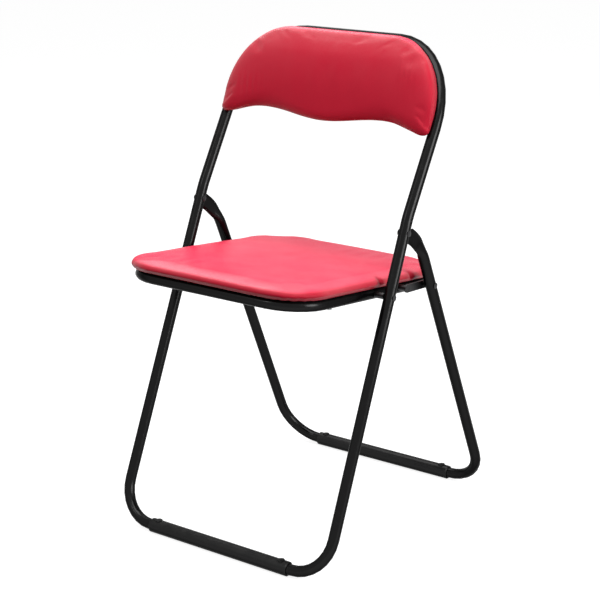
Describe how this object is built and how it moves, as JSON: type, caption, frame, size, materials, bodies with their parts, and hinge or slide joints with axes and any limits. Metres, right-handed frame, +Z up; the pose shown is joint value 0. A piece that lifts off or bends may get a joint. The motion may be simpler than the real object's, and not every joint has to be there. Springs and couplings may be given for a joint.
{
  "type": "folding chair",
  "caption": "Folding chair with a bent-tube front frame and back bow, bent-tube rear legs, a padded seat and a padded back, and sleeves on its floor bars.",
  "frame": {"origin": "on the floor, on the chair's middle plane, midway between its frontmost and rearmost points", "axes": "+Z up, +Y from the front of the chair to its rear, +X to the right of a viewer who faces the front"},
  "size_m": [0.4318, 0.5, 0.7888],
  "materials": {
    "black_paint": "satin black powder coat",
    "black_plastic": "matt",
    "red_vinyl": "soft semi-gloss vinyl, light coral red",
    "dark_board": "stained plywood, matt",
    "dark_steel": "blackened",
    "zinc_steel": "zinc plated"
  },
  "bodies": {
    "front_frame": {"front_frame_tube": "black_paint", "front_floor_sleeve": "black_plastic", "front_sleeve_stud_left": "black_plastic", "front_sleeve_stud_right": "black_plastic", "back_board": "dark_board", "back_cushion": "red_vinyl", "back_tab_lower_left": "black_paint", "back_tab_lower_right": "black_paint", "back_tab_upper_left": "black_paint", "back_tab_upper_right": "black_paint", "back_screw_lower_left": "dark_steel", "back_screw_lower_right": "dark_steel", "back_screw_upper_left": "dark_steel", "back_screw_upper_right": "dark_steel", "leg_pivot_rivet_left": "dark_steel", "leg_pivot_rivet_right": "dark_steel", "seat_pivot_rivet_left": "dark_steel", "seat_pivot_rivet_right": "dark_steel", "seat_pivot_bush_left": "dark_steel", "seat_pivot_bush_right": "dark_steel"},
    "rear_legs": {"rear_leg_tube": "black_paint", "rear_floor_sleeve": "black_plastic", "rear_sleeve_stud_left": "black_plastic", "rear_sleeve_stud_right": "black_plastic", "link_leg_rivet_left": "dark_steel", "link_leg_rivet_right": "dark_steel"},
    "seat": {"seat_rim_tube": "black_paint", "seat_brace_front": "black_paint", "seat_brace_rear": "black_paint", "seat_board": "dark_board", "seat_cushion": "red_vinyl", "seat_screw_front_left": "zinc_steel", "seat_screw_front_right": "zinc_steel", "seat_screw_rear_left": "zinc_steel", "seat_screw_rear_right": "zinc_steel", "link_seat_stand_left": "dark_steel", "link_seat_stand_right": "dark_steel"},
    "fold_link_left": {"fold_link_left": "dark_steel", "link_seat_rivet_left": "dark_steel"},
    "fold_link_right": {"fold_link_right": "dark_steel", "link_seat_rivet_right": "dark_steel"}
  },
  "joints": [
    {"name": "rear_leg_fold", "type": "hinge", "parent": "front_frame", "child": "rear_legs", "pos_m": [0, -0.0088, 0.508], "axis": [-1, 0, 0], "range_deg": [0, 47.17]},
    {"name": "seat_fold", "type": "hinge", "parent": "front_frame", "child": "seat", "pos_m": [0, -0.04932, 0.41557], "axis": [-1, 0, 0], "range_deg": [0, 107.06]},
    {"name": "link_left_fold", "type": "hinge", "parent": "rear_legs", "child": "fold_link_left", "pos_m": [0, 0.06593, 0.40746], "axis": [1, 0, 0], "range_deg": [0, 88.58]},
    {"name": "link_right_fold", "type": "hinge", "parent": "rear_legs", "child": "fold_link_right", "pos_m": [0, 0.06593, 0.40746], "axis": [1, 0, 0], "range_deg": [0, 88.58]}
  ],
  "couplings": [
    {"joint": "seat_fold", "follows": "rear_leg_fold", "ratio": 2.2694},
    {"joint": "link_left_fold", "follows": "rear_leg_fold", "ratio": 1.8776},
    {"joint": "link_right_fold", "follows": "rear_leg_fold", "ratio": 1.8776}
  ]
}
